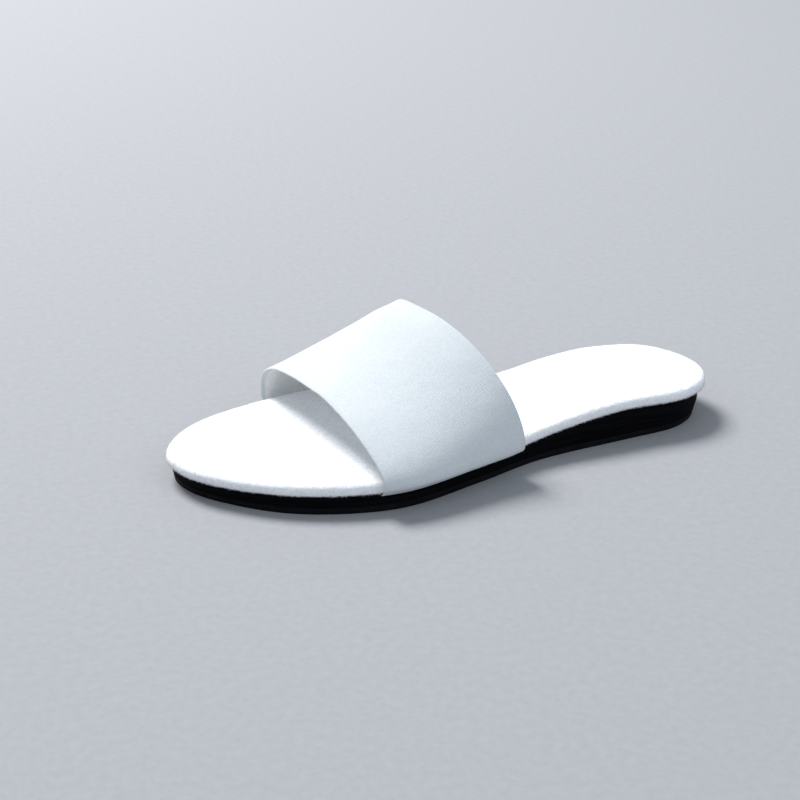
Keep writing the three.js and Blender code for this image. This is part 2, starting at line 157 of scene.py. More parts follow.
def rise_table():
    """Height of the sole's top above the midsole at places along the slipper."""
    xs = np.unique(np.round(BOARD_CORNERS[:, 0], 5))
    low = np.array([BOARD_CORNERS[np.abs(BOARD_CORNERS[:, 0] - x) < MM / 10][:, 2].min() for x in xs])
    fine = np.arange(-LENGTH / 2, LENGTH / 2 + MM, MM)
    heights = np.interp(fine, xs, low - low.min())
    padded = np.pad(heights, 8, mode="edge")
    return fine, np.convolve(padded, np.ones(17) / 17, "same")[8:-8]


RISE_X, RISE_Z = rise_table()


def sole_top(x):
    return SOLE_TOP + np.interp(x, RISE_X, RISE_Z)


def sole_inset(share_down, further_in):
    """The sole's wall behind the footbed's edge: share_down is 0 at its top, 1 at the floor."""
    def inset(x):
        towards_end = smoothstep((np.abs(x) - (LENGTH / 2 - END_REACH)) / END_REACH)
        setback = np.where(x < 0, TOE_END["setback"], HEEL_END["setback"])
        taper = np.where(x < 0, TOE_END["taper"], HEEL_END["taper"])
        return SOLE_SETBACK + (setback + taper * share_down) * towards_end + further_in
    return inset


def sides(inset=0.0):
    """Outer and inner side of the outline drawn in by inset, both from toe to heel."""
    distance = inset(OUTLINE[:, 0]) if callable(inset) else inset
    loop = OUTLINE - outward_normals(OUTLINE) * np.reshape(distance, (-1, 1))
    toe = loop[:, 0].argmin()
    loop = np.roll(loop, -toe, 0)
    heel = loop[:, 0].argmax()
    return loop[:heel + 1], np.vstack([loop[heel:], loop[:1]])[::-1]


PLAIN_SIDES = sides()


def ring(inset, height, stations=FINE, start=None):
    """A loop of 2 * stations points: outer side from toe to heel, then back along the inner side."""
    outer, inner = sides(inset)
    toe, heel = outer[0, 0], outer[-1, 0]
    angles = np.linspace(0, math.pi, stations + 1)
    shares = (1 - np.cos(angles)) / 2
    if start is not None:
        toe = start
        shares = np.sin(np.linspace(0, math.pi / 2, stations + 1))
    xs = toe + (heel - toe) * shares
    outer_ys = np.interp(xs, outer[:, 0], outer[:, 1])
    inner_ys = np.interp(xs, inner[:, 0], inner[:, 1])
    near = np.stack([xs, outer_ys], 1)
    far = np.stack([xs, inner_ys], 1)
    near[-1] = far[-1] = outer[-1]
    if start is None:
        near[0] = far[0] = outer[0]
        plan = np.vstack([near, far[-2:0:-1]])
    else:
        plan = np.vstack([near, far[-2::-1]])
    level = height(plan[:, 0]) if callable(height) else np.full(len(plan), height)
    return np.column_stack([plan, level])


def above_sole(height):
    return lambda x: sole_top(x) + height


# ---- Mesh building ---------------------------------------------------------------

def make_object(name, points, faces):
    mesh = bpy.data.meshes.new(name)
    mesh.from_pydata([tuple(p) for p in points], [], faces)
    mesh.validate()
    mesh.polygons.foreach_set("use_smooth", [True] * len(mesh.polygons))
    piece = bpy.data.objects.new(name, mesh)
    bpy.context.scene.collection.objects.link(piece)
    return piece


def without_repeats(face):
    kept = [v for i, v in enumerate(face) if v != face[i - 1]]
    return kept if len(kept) > 2 else None


def cap_rows(points, first, count, strips, closed_front):
    """Vertex numbers across a cap, one row per station, adding its inner points to points."""
    half = count // 2 if closed_front else (count - 1) // 2
    rows = []
    for i in range(half + 1):
        a = first + i
        if closed_front:
            b = first + (count - i) % count
        else:
            b = first + count - 1 - i
        row = [a]
        for j in range(1, strips):
            if a == b:
                row.append(a)
            else:
                # Even strips, drawn partly towards the edges, where the surface bends most.
                share = j / strips * 0.6 + (1 - math.cos(math.pi * j / strips)) * 0.2
                points.append(points[a] + (points[b] - points[a]) * share)
                row.append(len(points) - 1)
        rows.append(row + [b])
    return rows


def stacked_piece(name, rings, low_strips=8, high_strips=8, high_shape=None, low_shape=None):
    """A closed solid through a stack of rings, capped below the first and above the last."""
    count = len(rings[0])
    closed_front = count % 2 == 0
    points = [p for r in rings for p in r]
    faces = []
    for level in range(len(rings) - 1):
        low, high = level * count, (level + 1) * count
        for i in range(count):
            j = (i + 1) % count
            faces.append([low + i, low + j, high + j, high + i])
    for first, strips, shape, up in ((0, low_strips, low_shape, False),
                                     (count * (len(rings) - 1), high_strips, high_shape, True)):
        begin = len(points)
        rows = cap_rows(points, first, count, strips, closed_front)
        if shape is not None:
            points[begin:] = list(shape(np.array(points[begin:])))
        for i in range(len(rows) - 1):
            for j in range(strips):
                face = [rows[i][j], rows[i + 1][j], rows[i + 1][j + 1], rows[i][j + 1]]
                face = without_repeats(face if up else face[::-1])
                if face:
                    faces.append(face)
    return make_object(name, points, faces)


# ---- Sole --------------------------------------------------------------------------

def wall_rings(bottom, top, wall_height, levels, edge, start=None, ripple=0.0, stations=FINE):
    """Rings up a sole layer's wall, with rounded edges and the faint lines of a cut foam edge."""
    def level_at(share):
        if callable(top):
            return lambda x: between(bottom, top(x), share)
        return lambda x: np.full(len(x), between(bottom, top, share))

    rings = []
    for k in range(levels + 1):
        uneven = ripple * math.sin(7.3 * k + 2.1 * math.sin(3.7 * k))
        for share, round_in in edge_steps(k, levels, edge):
            level = level_at(share)
            share_down = np.clip(1 - level(np.zeros(1))[0] / wall_height, 0, 1)
            rings.append(ring(sole_inset(share_down, round_in + uneven), level, stations, start))
    return rings


def edge_steps(k, levels, edge):
    """Share of the wall's height and distance drawn in at level k: its two edges are rounded."""
    if k == 0:
        return [(0.0, 1.6 * edge), (0.0, 0.6 * edge), (0.018, 0.12 * edge), (0.045, 0.0)]
    if k == levels:
        return [(0.955, 0.0), (0.982, 0.12 * edge), (1.0, 0.6 * edge), (1.0, 1.6 * edge)]
    return [(k / levels, 0.0)]


TREAD_STATIONS = 700            # enough to follow the edges of the grooves
TREAD_STRIPS = 72
TREAD = {"pitch": 9 * MM, "width": 2.4 * MM, "depth": 1.0 * MM, "from_end": 20 * MM,
         "plain_waist": (5 * MM, 50 * MM), "rim": 4 * MM, "sway": 1.5 * MM, "sway_length": 23 * MM}


def side_distance(points):
    """How far inside the outline each point lies, measured across the slipper."""
    outer, inner = PLAIN_SIDES
    near = points[:, 1] - np.interp(points[:, 0], outer[:, 0], outer[:, 1])
    far = np.interp(points[:, 0], inner[:, 0], inner[:, 1]) - points[:, 1]
    return np.minimum(near, far)


def tread(points):
    """Wavy grooves moulded across the underside, with a plain rim, plain ends and a plain waist."""
    x, y = points[:, 0], points[:, 1]
    across = x + TREAD["sway"] * np.sin(2 * math.pi * y / TREAD["sway_length"])
    middle = (np.floor(across / TREAD["pitch"]) + 0.5) * TREAD["pitch"]
    groove = 1 - smoothstep((np.abs(across - middle) - TREAD["width"] / 2 + 0.3 * MM) / (0.6 * MM))
    first, last = TREAD["plain_waist"]
    grooved = np.abs(middle) < LENGTH / 2 - TREAD["from_end"]
    grooved &= (middle < first) | (middle > last)
    rim = smoothstep((side_distance(points) - TREAD["rim"]) / MM)
    points[:, 2] = TREAD["depth"] * groove * grooved * rim
    return points


def build_outsole():
    rings = wall_rings(0.0, OUTSOLE_TOP + BELOW_JOINT, HEEL_TOP, 5, 0.35 * MM,
                       ripple=0.03 * MM, stations=TREAD_STATIONS)
    return stacked_piece("outsole_sheet", rings, low_strips=TREAD_STRIPS, high_strips=4,
                         low_shape=tread)


def build_midsole():
    bottom = OUTSOLE_TOP + ABOVE_JOINT
    top = SOLE_TOP + BELOW_JOINT
    rings = wall_rings(bottom, top, HEEL_TOP, 14, 0.25 * MM, ripple=0.05 * MM)
    for r in rings:
        share = np.clip((r[:, 2] - bottom) / (top - bottom), 0, 1)
        r[:, 2] -= strap_pocket(r) * share

    def pressed(points):
        points[:, 2] = top - strap_pocket(points)
        return points

    return stacked_piece("midsole_sheet", rings, high_strips=60, high_shape=pressed)


def wedge_start():
    """The first place where the sole has risen enough to hold the wedge's thin front edge."""
    xs = np.arange(-LENGTH / 4, LENGTH / 2, MM / 4)
    return float(xs[sole_top(xs) > SOLE_TOP + 0.3 * MM][0])


def build_heel_wedge():
    rings = wall_rings(SOLE_TOP + ABOVE_JOINT, above_sole(BELOW_JOINT), HEEL_TOP, 12, 0.25 * MM,
                       start=wedge_start(), ripple=0.05 * MM)
    return stacked_piece("heel_wedge_block", rings)


# ---- Footbed -------------------------------------------------------------------------

# Inset from the edge and height above the sole, in millimetres, from the turned-in edge of the
# cover underneath, round the side and up onto the top.
COVER_PROFILE = [(8, 0.17), (5, 0.17), (2.4, 0.17), (1.5, 0.2), (0.85, 0.36), (0.4, 0.68), (0.12, 1.15),
                 (0, 1.75), (0, 2.5), (0.06, 3.25), (0.3, 3.98), (0.78, 4.64), (1.5, 5.2),
                 (2.45, 5.64), (3.7, 6.0), (5.3, 6.28), (7.4, 6.48)]
CROWN_PROFILE = [(7.4, 6.48), (10.2, 6.6), (14, 6.66), (22, 6.7)]
COVER_SHOWS = 4                # the rings before this one lie underneath
COVER_THICKNESS = 0.5
COVER_STATIONS = 620


def moved_inwards(profile, distance):
    """The profile at a distance inside the footbed."""
    line = np.array(profile, float)
    along = unit(np.gradient(line, axis=0))
    return line + np.column_stack([along[:, 1], -along[:, 0]]) * distance


def pile_relief(point):
    """The unevenness of padding under a hand-laid cover, and the clumps of its pile."""
    p = Vector(point)
    broad = noise.noise(p * 38)
    fine = noise.noise(p * 170 + Vector((3, 1, 7)))
    clumps = noise.noise(p * 620 + Vector((9, 4, 2)))
    return (0.16 * broad + 0.07 * fine + 0.13 * clumps) * MM


def footbed_rings(profile, stations):
    return [ring(i * MM, above_sole(h * MM), stations) for i, h in profile]


def edge_distance(points):
    """Distance of each point, in plan, from the footbed's edge."""
    edge = OUTLINE[::3]
    parts = []
    for block in np.array_split(points[:, :2], max(1, len(points) // 2000)):
        gaps = block[:, None] - edge[None]
        parts.append(np.sqrt((gaps ** 2).sum(2).min(1)))
    return np.concatenate(parts)


def crowned(drop):
    """Heights of the footbed's top away from its edge, less a drop."""
    insets, heights = np.array(CROWN_PROFILE).T * MM

    def shape(points):
        rise = np.interp(edge_distance(points), insets, heights)
        points[:, 2] = sole_top(points[:, 0]) + rise - drop
        return points

    return shape


def cover_surface():
    """Rings of the cover's outer surface and their normals; what lies underneath is plain."""
    rings = footbed_rings(COVER_PROFILE, COVER_STATIONS)
    normals = ring_normals(rings)
    for points, facing in zip(rings[COVER_SHOWS:], normals[COVER_SHOWS:]):
        for point, normal in zip(points, facing):
            point += normal * pile_relief(point)
    return rings, normals


def build_footbed_cover(outside):
    inside = footbed_rings(moved_inwards(COVER_PROFILE, COVER_THICKNESS)[::-1], COVER_STATIONS)

    def crown(points):
        for point in crowned(0.0)(points):
            point[2] += pile_relief(point)
        return points

    return stacked_piece("footbed_cover_fabric", inside + outside, low_strips=16, high_strips=64,
                         low_shape=crowned(COVER_THICKNESS * MM), high_shape=crown)


def ring_normals(rings):
    """Outward normals at each point of a stack of rings."""
    grid = np.array(rings)
    around = np.roll(grid, -1, 1) - np.roll(grid, 1, 1)
    return unit(np.cross(around, np.gradient(grid, axis=0)))


def build_footbed_foam():
    inside = [(i, h) for i, h in moved_inwards(COVER_PROFILE, COVER_THICKNESS + 0.1) if h > 2.7]
    rings = footbed_rings([(0.9, 2.55)] + inside, COARSE)
    return stacked_piece("footbed_sponge", rings, high_strips=16,
                         high_shape=crowned((COVER_THICKNESS + 0.12) * MM))


# ---- Nap ---------------------------------------------------------------------------

NAP_ROOT = 0.06 * MM            # how deep a fibre stands in the cloth


def nap(name, roots, leans, lengths, thickness):
    """Fine loose fibres standing on a cloth: each is a closed, bent and tapered thread.

    The way a fibre bends follows from its length.
    """
    points, faces = [], []
    for root, lean, length, thick in zip(roots, leans, lengths, thickness):
        direction = Vector(lean).normalized()
        side = direction.orthogonal().normalized()
        other = direction.cross(side)
        root = Vector(root) - direction * NAP_ROOT
        bend = side * math.sin(length * 1e7) + other * math.cos(length * 1e7)
        begin = len(points)
        for share, width in ((0.0, 1.0), (0.55, 0.8)):
            centre = root + direction * length * share + bend * length * 0.12 * share
            for k in range(3):
                angle = 2 * math.pi * k / 3
                points.append(centre + (side * math.cos(angle) + other * math.sin(angle))
                              * thick * width)
        points.append(root + direction * length + bend * length * 0.45)
        a = begin
        faces.append([a + 2, a + 1, a])
        for k in range(3):
            n = (k + 1) % 3
            faces.append([a + k, a + n, a + 3 + n, a + 3 + k])
            faces.append([a + 3 + k, a + 3 + n, a + 6])
    return make_object(name, points, faces)


def scattered(grid, normals, count, seed, lean):
    """Places spread over a grid of points, with directions leaning at random off its normals."""
    rng = np.random.default_rng(seed)
    grid, normals = np.array(grid), np.array(normals)
    rows, columns = grid.shape[:2]
    row = rng.random(count) * (rows - 1.001)
    column = rng.random(count) * (columns - 1.001)
    r, c = row.astype(int), column.astype(int)
    fr, fc = (row - r)[:, None], (column - c)[:, None]

    def at(values):
        low = values[r, c] * (1 - fc) + values[r, c + 1] * fc
        high = values[r + 1, c] * (1 - fc) + values[r + 1, c + 1] * fc
        return low * (1 - fr) + high * fr

    leans = at(normals) + rng.normal(0, lean, (count, 3))
    return at(grid), leans, rng


def build_footbed_nap(surface, normals):
    """Fibres all round the cover's side, with longer ones where it meets the sole."""
    side, low = 9000, 3500
    surface, normals = surface[COVER_SHOWS:], normals[COVER_SHOWS:]
    roots, leans, rng = scattered(surface, normals, side, 7, 0.55)
    low_roots, low_leans, _ = scattered(surface[:3], normals[:3], low, 8, 0.5)
    lengths = np.concatenate([rng.uniform(0.35, 0.9, side), rng.uniform(0.5, 1.1, low)]) * MM
    thickness = np.concatenate([rng.uniform(0.035, 0.06, side), rng.uniform(0.06, 0.1, low)]) * MM
    return nap("footbed_cover_nap", np.vstack([roots, low_roots]), np.vstack([leans, low_leans]),
               lengths, thickness)


# ---- Band over the foot ----------------------------------------------------------------

STRAP_SIDES = sides(-STRAP_CLEARANCE)
STRAP_STEPS = 420
NORMAL_SECTIONS = 18            # sections of the band that its normals are taken from

FABRIC = 0.42 * MM
LINING = 0.4 * MM
CLEAR = 0.02 * MM               # between two cloths
FOAM_CLEAR = 0.08 * MM          # between the foam and the cloths on both sides of it
TURN_IN = 6 * MM                # hem of the face under the lining
HEM = 0.515 * MM                # half the face's thickness where it is folded round an edge
THIN_EDGE = 1.3 * MM            # how much thinner the band is at its edges

# The band's inner surface at either foot: distance outside the footbed's edge and height above
# the sole, in millimetres, from the end of the tab glued under the footbed to where it comes out,
# and then shares of the bulge and of the stand, up to the place where the band is widest.
TAB_PATH = [(-12, -0.8), (-8, -0.8), (-5, -0.78), (-3.2, -0.7), (-2.1, -0.5), (-1.2, -0.1),
            (-0.5, 0.45), (0.0, 1.1)]
RISING_PATH = [(0.22, 0.36), (0.46, 0.53), (0.7, 0.71), (0.89, 0.87), (1.0, 1.0)]
STRAP_STAND = 5.6 * MM

CREST_SAG = 1.5 * MM            # how far the crest hangs below a straight line, front to rear
CREST_LIFT = 1.8 * MM           # how far the soft band stands up at its rear edge
CREST_DROOP = 2.2 * MM          # how far that edge rolls over at the crest
DROOP_REACH = 24 * MM           # to either side of the crest
CORNER_START = 11.6 * MM        # along the band, where its corners begin to show beside the sole
CORNER_ROUND = {"front": 0.5 * MM, "rear": 2.4 * MM}
SWELL_LENGTH = 9 * MM           # from the pressed tab to the band's full thickness
POCKET_MOUTH = 0.9 * MM         # depth of a tab's pocket at the sole's wall, and further in
POCKET_DEPTH = 1.9 * MM
POCKET_SLOPE = 3 * MM           # length of the slope at its front and rear end


def strap_feet(share):
    """Where the band's two feet stand in plan, at a share of the way from its front to its rear."""
    feet = []
    for side, line in zip(("outer", "inner"), STRAP_SIDES):
        x = between(FRONT_EDGE[side], REAR_EDGE[side], share) - LENGTH / 2
        feet.append(np.array([x, np.interp(x, line[:, 0], line[:, 1])]))
    return feet


def foot_line(bulge):
    """The inner surface at one foot as a smooth line."""
    path = [(out * MM, height * MM) for out, height in TAB_PATH]
    path = np.array(path + [(bulge * out, STRAP_STAND * height) for out, height in RISING_PATH])
    along = places_along(path)
    places = np.linspace(0, along[-1], 160)
    line = np.column_stack([np.interp(places, along, path[:, i]) for i in range(2)])
    for _ in range(40):
        line[1:-1] = (line[:-2] + 2 * line[1:-1] + line[2:]) / 4
    return line


def crest_wave(share):
    """Height of the band's crest over a straight line from its front to its rear edge."""
    sag = 5.3 * share * (1 - share) * (1 - share / 2)       # reaches 1 a little before the middle
    return CREST_LIFT * share ** 2 - CREST_SAG * sag


def strap_section(share, count):
    """The band's inner surface across the foot: count points from tab end to tab end."""
    outer, inner = strap_feet(share)
    span = np.linalg.norm(inner - outer)
    across = (inner - outer) / span
    size = {k: between(FRONT_EDGE[k], REAR_EDGE[k], share) for k in FRONT_EDGE}
    peak = size["peak"] - STRAP_THICKNESS + crest_wave(share)
    peak_at = span - size["from_inner"]
    flanks = []
    for foot, side, width in ((outer, "outer", peak_at), (inner, "inner", span - peak_at)):
        sole = float(sole_top(foot[0]))
        base = sole + STRAP_STAND
        rise = peak - base
        power = 2 / size[side + "_fullness"]
        bulge = size[side + "_bulge"]
        turn = [(out, sole + height) for out, height in foot_line(bulge)[:-1]]
        reach = width + bulge
        arch = [(reach * math.cos(a) ** power - width, base + rise * math.sin(a) ** power)
                for a in np.linspace(0, math.pi / 2, 120)[:-1]]
        flanks.append(turn + arch)
    line = [(-out, z) for out, z in flanks[0]] + [(peak_at, peak)]
    line += [(span + out, z) for out, z in flanks[1][::-1]]
    line = np.array(line)
    droop = CREST_DROOP * smoothstep((share - 0.8) / 0.2)
    line[:, 1] -= droop * np.exp(-((line[:, 0] - peak_at) / DROOP_REACH) ** 2)
    along = places_along(line)
    places = np.linspace(0, along[-1], count)
    distance = np.interp(places, along, line[:, 0])
    height = np.interp(places, along, line[:, 1])
    plan = outer + across * distance[:, None]
    return np.column_stack([plan, height]), along[-1]


def strap_pocket(points):
    """How deep the tabs press into the midsole at each point."""
    depth = np.zeros(len(points))
    for sign, side, line in ((-1, "outer", STRAP_SIDES[0]), (1, "inner", STRAP_SIDES[1])):
        front = FRONT_EDGE[side] + CORNER_ROUND["front"] - LENGTH / 2
        rear = REAR_EDGE[side] - CORNER_ROUND["rear"] - LENGTH / 2
        edge = np.interp(points[:, 0], line[:, 0], line[:, 1])
        inward = sign * (edge - points[:, 1])
        along = smoothstep((points[:, 0] - front) / POCKET_SLOPE + 0.5)
        along *= smoothstep((rear - points[:, 0]) / POCKET_SLOPE + 0.5)
        deep = between(POCKET_MOUTH, POCKET_DEPTH, smoothstep((inward - 0.6 * MM) / (1.8 * MM)))
        depth += deep * along * smoothstep((TAB_LENGTH + 4 * MM - inward) / (2 * MM))
    return depth


def strap_from_end():
    """Distance along the band from the nearer of its two ends at each step."""
    total = strap_section(0.5, STRAP_STEPS)[1]
    place = np.linspace(0, total, STRAP_STEPS)
    return np.minimum(place, total - place)


def rounded_corners(points, shares):
    """Draw the band's edges in towards its tabs, so that its corners at the sole are round."""
    across = unit(points[:, [shares.argmax()]] - points[:, [shares.argmin()]])
    from_middle = 2 * shares - 1
    radius = np.where(from_middle > 0, CORNER_ROUND["rear"], CORNER_ROUND["front"])
    from_start = strap_from_end() - CORNER_START
    drawn_in = (1 - np.clip(from_start[:, None] / (1.7 * radius), 0, 1)) ** 2.2
    return points - across * (drawn_in * radius * from_middle)[:, :, None]


def strap_normals(shares):
    """The band's outward normals, blended from those of a few evenly spaced sections."""
    even = np.linspace(0, 1, NORMAL_SECTIONS)
    surface = np.stack([strap_section(share, STRAP_STEPS)[0] for share in even], 1)
    normals = unit(np.cross(np.gradient(surface, axis=1), np.gradient(surface, axis=0)))
    spots = shares * (NORMAL_SECTIONS - 1)
    left = np.clip(np.floor(spots).astype(int), 0, NORMAL_SECTIONS - 2)
    part = (spots - left)[None, :, None]
    return unit(between(normals[:, left], normals[:, left + 1], part))


def strap_grid(widths):
    """Points and outward normals of the band's inner surface at places across its width."""
    shares = np.clip(np.array(widths) / STRAP_WIDTH, 0, 1)
    columns = {share: strap_section(share, STRAP_STEPS)[0] for share in set(shares)}
    points = np.stack([columns[share] for share in shares], 1)
    return rounded_corners(points, shares), strap_normals(shares)


def strap_squeeze():
    """Share of the band's thickness left at each step: its tabs are pressed flat."""
    swell = smoothstep((strap_from_end() - TAB_LENGTH) / SWELL_LENGTH)
    return TAB_PRESS + (1 - TAB_PRESS) * swell


def strap_softness(point):
    """Soft unevenness of the band's foam and fabric."""
    p = Vector(point)
    return (0.22 * noise.noise(p * 45) + 0.1 * noise.noise(p * 130)) * MM


def swept_strap(name, outline, first=0, last=STRAP_STEPS - 1):
    """Sweep a closed outline of (place across the width, height in the thickness) along the band.

    The outline's first half is one face and its second half the other, so that its ends close
    with strips between the two.
    """
    widths, heights = np.array(outline).T
    points, normals = strap_grid(widths)
    squeeze = strap_squeeze()[:, None]
    middle = points + normals * STRAP_THICKNESS / 2
    uneven = np.apply_along_axis(strap_softness, 2, middle) * smoothstep((squeeze - 0.4) / 0.6)
    placed = (points + normals * (heights * squeeze + uneven)[:, :, None])[first:last + 1]
    rows, count = placed.shape[:2]
    faces = []
    for i in range(rows - 1):
        for j in range(count):
            k = (j + 1) % count
            faces.append([i * count + j, i * count + k, (i + 1) * count + k, (i + 1) * count + j])
    for j in range(count // 2 - 1):
        strip = [j, count - 1 - j, count - 2 - j, j + 1]
        faces.append(strip)
        faces.append([(rows - 1) * count + v for v in strip[::-1]])
    piece = make_object(name, placed.reshape(-1, 3), faces)
    add_weave(piece, widths, heights, first, last)
    return piece


def add_weave(piece, widths, heights, first, last):
    """Give each point its place in the flat cloth: along the band, across it and through it."""
    steps = np.arange(first, last + 1) / (STRAP_STEPS - 1) - 0.5
    spans = np.array([strap_section(np.clip(w / STRAP_WIDTH, 0, 1), 40)[1] for w in widths])
    values = np.zeros((len(steps), len(widths), 3), np.float32)
    values[:, :, 0] = steps[:, None] * spans
    values[:, :, 1] = widths
    values[:, :, 2] = heights
    weave = piece.data.attributes.new("weave", "FLOAT_VECTOR", "POINT")
    weave.data.foreach_set("vector", values.ravel())


def arc(centre, radius, start, end, steps):
    """Points on an arc in the (width, thickness) plane; angles in degrees."""
    return [(centre[0] + radius * math.cos(math.radians(a)), centre[1] + radius * math.sin(math.radians(a)))
            for a in np.linspace(start, end, steps)]


def strap_low(width):
    """Height of the band's inner surface: it comes up to the outer one towards the edges."""
    from_edge = min(width, STRAP_WIDTH - width)
    return THIN_EDGE * (1 - float(smoothstep(from_edge / (8 * MM))))


def strap_high(width):
    """Height of the outer surface, a little lower along the edges."""
    from_edge = min(width, STRAP_WIDTH - width)
    return STRAP_THICKNESS - 0.12 * MM * (1 - float(smoothstep(from_edge / (3 * MM))))


def strap_face_path(inset):
    """The face fabric goes round both edges of the band and is turned in under the lining."""
    under = strap_low(HEM) + LINING + CLEAR
    middle = (under + strap_high(HEM)) / 2
    hem_places = (TURN_IN, 4.6 * MM, 3.3 * MM, 2.2 * MM, 1.3 * MM)
    hem = [(w, strap_low(w) + LINING + CLEAR + inset) for w in hem_places]
    radius = (strap_high(HEM) - under) / 2
    hem += arc((radius, middle), radius - inset, 270, 90, 9)
    flat = [(w, strap_high(w) - inset) for w in np.linspace(HEM, STRAP_WIDTH - HEM, 44)[1:-1]]
    return hem + flat + [(STRAP_WIDTH - w, h) for w, h in hem[::-1]]


def build_strap_face():
    return swept_strap("strap_face_fabric", strap_face_path(0.0) + strap_face_path(FABRIC)[::-1])


def build_strap_lining():
    edge = 2.1 * MM
    places = np.linspace(edge, STRAP_WIDTH - edge, 30)
    low = [(w, strap_low(w)) for w in places]
    high = [(w, strap_low(w) + LINING) for w in places]
    return swept_strap("strap_lining_fabric", high + low[::-1])


def build_strap_foam():
    inset = FABRIC + FOAM_CLEAR
    places = np.linspace(3.4 * MM, STRAP_WIDTH - 3.4 * MM, 36)
    high = [(w, strap_high(w) - inset) for w in places]
    low = []
    for w in places:
        from_edge = min(w, STRAP_WIDTH - w)
        over_hem = 1 - float(smoothstep((from_edge - TURN_IN - 0.2 * MM) / MM))
        low.append((w, strap_low(w) + LINING + CLEAR + FOAM_CLEAR + (FABRIC + CLEAR) * over_hem))
    ends = int(TAB_LENGTH / strap_section(0.5, STRAP_STEPS)[1] * STRAP_STEPS) + 3
    return swept_strap("strap_sponge", high + low[::-1], ends, STRAP_STEPS - 1 - ends)


def build_strap_nap():
    """Loose fibres, most of them low on the band's sides and along its edges."""
    widths = np.linspace(0.2 * MM, STRAP_WIDTH - 0.2 * MM, 40)
    points, normals = strap_grid(widths)
    squeeze = strap_squeeze()[:, None, None]
    surface = points + normals * np.array([strap_high(w) for w in widths])[None, :, None] * squeeze
    begin = int(STRAP_STEPS * 0.065)
    low = slice(begin, begin + int(STRAP_STEPS * 0.14))
    spread = slice(begin, STRAP_STEPS - begin)
    thread, pill = (0.25, 0.6, 0.03), (0.1, 0.24, 0.1)      # shortest, longest and thickness, in mm
    parts = [(surface[low], normals[low], 1500, 11, thread),
             (surface[::-1][low], normals[::-1][low], 700, 12, thread),
             (surface[spread], normals[spread], 1600, 13, thread),
             (surface[spread][:, :2], normals[spread][:, :2], 700, 14, thread),
             (surface[spread][:, -2:], normals[spread][:, -2:], 700, 15, thread),
             (surface[low], normals[low], 170, 16, pill),
             (surface[::-1][low], normals[::-1][low], 110, 17, pill),
             (surface[spread], normals[spread], 90, 18, pill)]
    roots, leans, lengths, thickness = [], [], [], []
    for grid, facing, count, seed, (short, long, thick) in parts:
        r, d, rng = scattered(grid, facing, count, seed, 0.6)
        roots.append(r)
        leans.append(d)
        lengths.append(rng.uniform(short, long, count) * MM)
        thickness.append(rng.uniform(0.7, 1.0, count) * thick * MM)
    return nap("strap_nap", np.vstack(roots), np.vstack(leans), np.concatenate(lengths),
               np.concatenate(thickness))


# ---- Materials -----------------------------------------------------------------------

class Look:
    """A procedural material: a Principled shader with helpers for the nodes that feed it."""

    def __init__(self, name, color, roughness, **constants):
        self.material = bpy.data.materials.new(name)
        self.material.use_nodes = True
        self.tree = self.material.node_tree
        self.shader = self.tree.nodes["Principled BSDF"]
        self.shader.inputs["Base Color"].default_value = (*color, 1)
        self.shader.inputs["Roughness"].default_value = roughness
        for socket, value in constants.items():
            self.shader.inputs[socket.replace("_", " ")].default_value = value
        self.normal = None

    def node(self, kind, **settings):
        node = self.tree.nodes.new(kind)
        for key, value in settings.items():
            setattr(node, key, value)
        return node

    def link(self, source, target):
        self.tree.links.new(source, target)

    def place(self, scale=(1, 1, 1), attribute=None):
        """Texture coordinates in metres, from the object or from a named attribute."""
        if attribute:
            source = self.node("ShaderNodeAttribute", attribute_name=attribute).outputs["Vector"]
        else:
            source = self.node("ShaderNodeTexCoord").outputs["Object"]
        mapping = self.node("ShaderNodeMapping")
        mapping.inputs["Scale"].default_value = scale
        self.link(source, mapping.inputs["Vector"])
        return mapping.outputs["Vector"]

    def noise(self, where, scale, detail=3.0, roughness=0.55):
        node = self.node("ShaderNodeTexNoise")
        node.inputs["Scale"].default_value = scale
        node.inputs["Detail"].default_value = detail
        node.inputs["Roughness"].default_value = roughness
        self.link(where, node.inputs["Vector"])
        return node.outputs["Fac"]

    def cells(self, where, scale):
        node = self.node("ShaderNodeTexVoronoi")
        node.inputs["Scale"].default_value = scale
        self.link(where, node.inputs["Vector"])
        return node.outputs["Distance"]

    def wave(self, where, scale, distortion=0.0, direction="X"):
        node = self.node("ShaderNodeTexWave", bands_direction=direction, wave_profile="SIN")
        node.inputs["Scale"].default_value = scale
        node.inputs["Distortion"].default_value = distortion
        node.inputs["Detail"].default_value = 2
        node.inputs["Detail Scale"].default_value = 1.2
        self.link(where, node.inputs["Vector"])
        return node.outputs["Fac"]

    def spread(self, value, low, high):
        """Stretch a value between 0 and 1 to lie between low and high."""
        node = self.node("ShaderNodeMapRange")
        node.inputs["To Min"].default_value = low
        node.inputs["To Max"].default_value = high
        self.link(value, node.inputs["Value"])
        return node.outputs["Result"]

    def colors(self, value, stops):
        ramp = self.node("ShaderNodeValToRGB")
        elements = ramp.color_ramp.elements
        while len(elements) < len(stops):
            elements.new(0.5)
        for element, (position, color) in zip(elements, stops):
            element.position = position
            element.color = (*color, 1)
        self.link(value, ramp.inputs["Fac"])
        return ramp.outputs["Color"]

    def set(self, socket, output):
        self.link(output, self.shader.inputs[socket])

    def bump(self, height, distance, strength=1.0):
        """Stack another layer of relief on the surface; distance is its depth in metres."""
        node = self.node("ShaderNodeBump")
        node.inputs["Strength"].default_value = strength
        node.inputs["Distance"].default_value = distance
        self.link(height, node.inputs["Height"])
        if self.normal is not None:
            self.link(self.normal, node.inputs["Normal"])
        self.normal = node.outputs["Normal"]
        self.link(self.normal, self.shader.inputs["Normal"])


